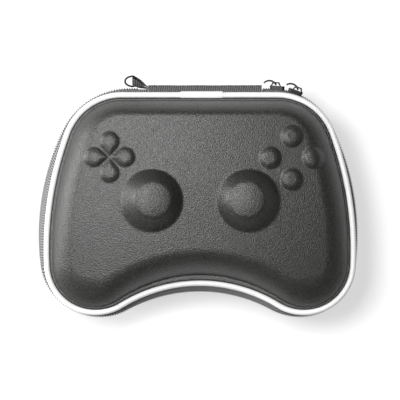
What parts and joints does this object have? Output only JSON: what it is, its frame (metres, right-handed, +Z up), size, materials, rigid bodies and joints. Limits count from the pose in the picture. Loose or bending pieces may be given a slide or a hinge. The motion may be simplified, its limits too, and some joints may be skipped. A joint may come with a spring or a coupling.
{
  "type": "controller carrying case",
  "caption": "Hard moulded zip case in the outline of a game controller, with raised stick, button and cross relief on its lid, white piping, a cloth hinge, zip sliders and a ring on a webbing loop.",
  "frame": {"origin": "on the bottom face, below the midpoint between the two thumb-stick domes", "axes": "+Z up out of the lid, +Y towards the hinge, +X to the right seen from above with the hinge away from the viewer"},
  "size_m": [0.173, 0.131, 0.072],
  "materials": {
    "case_skin": "matte woven cloth pressed on foam board",
    "white_piping": "smooth satin",
    "black_piping": "smooth satin",
    "zip_tape": "woven tape",
    "zip_teeth": "moulded nylon",
    "webbing": "woven webbing",
    "hinge_cloth": "woven cloth",
    "black_metal": "black enamel on cast metal"
  },
  "bodies": {
    "base": {"lower_shell": "case_skin", "lower_piping": "black_piping", "lower_zip_tape": "zip_tape", "lower_zip_teeth": "zip_teeth", "lower_inner_binding": "webbing", "hinge_tape": "hinge_cloth", "hinge_lining": "hinge_cloth", "ring_loop": "webbing"},
    "lid": {"upper_shell": "case_skin", "upper_piping": "white_piping", "piping_sleeve": "white_piping", "upper_zip_tape": "zip_tape", "upper_zip_teeth": "zip_teeth", "upper_inner_binding": "webbing"},
    "ring": {"d_ring": "black_metal"},
    "left_slider": {"slider_a": "black_metal"},
    "left_pull": {"pull_a": "black_metal"},
    "right_slider": {"slider_b": "black_metal"},
    "right_pull": {"pull_b": "black_metal"}
  },
  "joints": [
    {"name": "lid_hinge", "type": "hinge", "parent": "base", "child": "lid", "pos_m": [0, 0.062, 0.036], "axis": [-1, 0, 0], "range_deg": [0, 180], "deforming": ["upper_zip_tape", "upper_zip_teeth"]},
    {"name": "left_slide", "type": "hinge", "parent": "base", "child": "left_slider", "pos_m": [0.0384, 0.0219, 0.036], "axis": [0, 0, 1], "range_deg": [0, 3], "deforming": ["upper_zip_teeth", "lower_zip_teeth"]},
    {"name": "right_slide", "type": "hinge", "parent": "base", "child": "right_slider", "pos_m": [0.0384, 0.0219, 0.036], "axis": [0, 0, -1], "range_deg": [0, 38], "deforming": ["upper_zip_teeth", "lower_zip_teeth"]},
    {"name": "left_pull_hinge", "type": "hinge", "parent": "left_slider", "child": "left_pull", "pos_m": [0.04113, 0.06227, 0.036], "axis": [0, 0, -1], "range_deg": [0, 110]},
    {"name": "right_pull_hinge", "type": "hinge", "parent": "right_slider", "child": "right_pull", "pos_m": [0.05299, 0.05964, 0.036], "axis": [0, 0, -1], "range_deg": [0, 120]},
    {"name": "ring_hinge", "type": "hinge", "parent": "base", "child": "ring", "pos_m": [-0.0354, 0.064, 0.036], "axis": [0, 0.6157, 0.788], "range_deg": [-40, 3]}
  ]
}
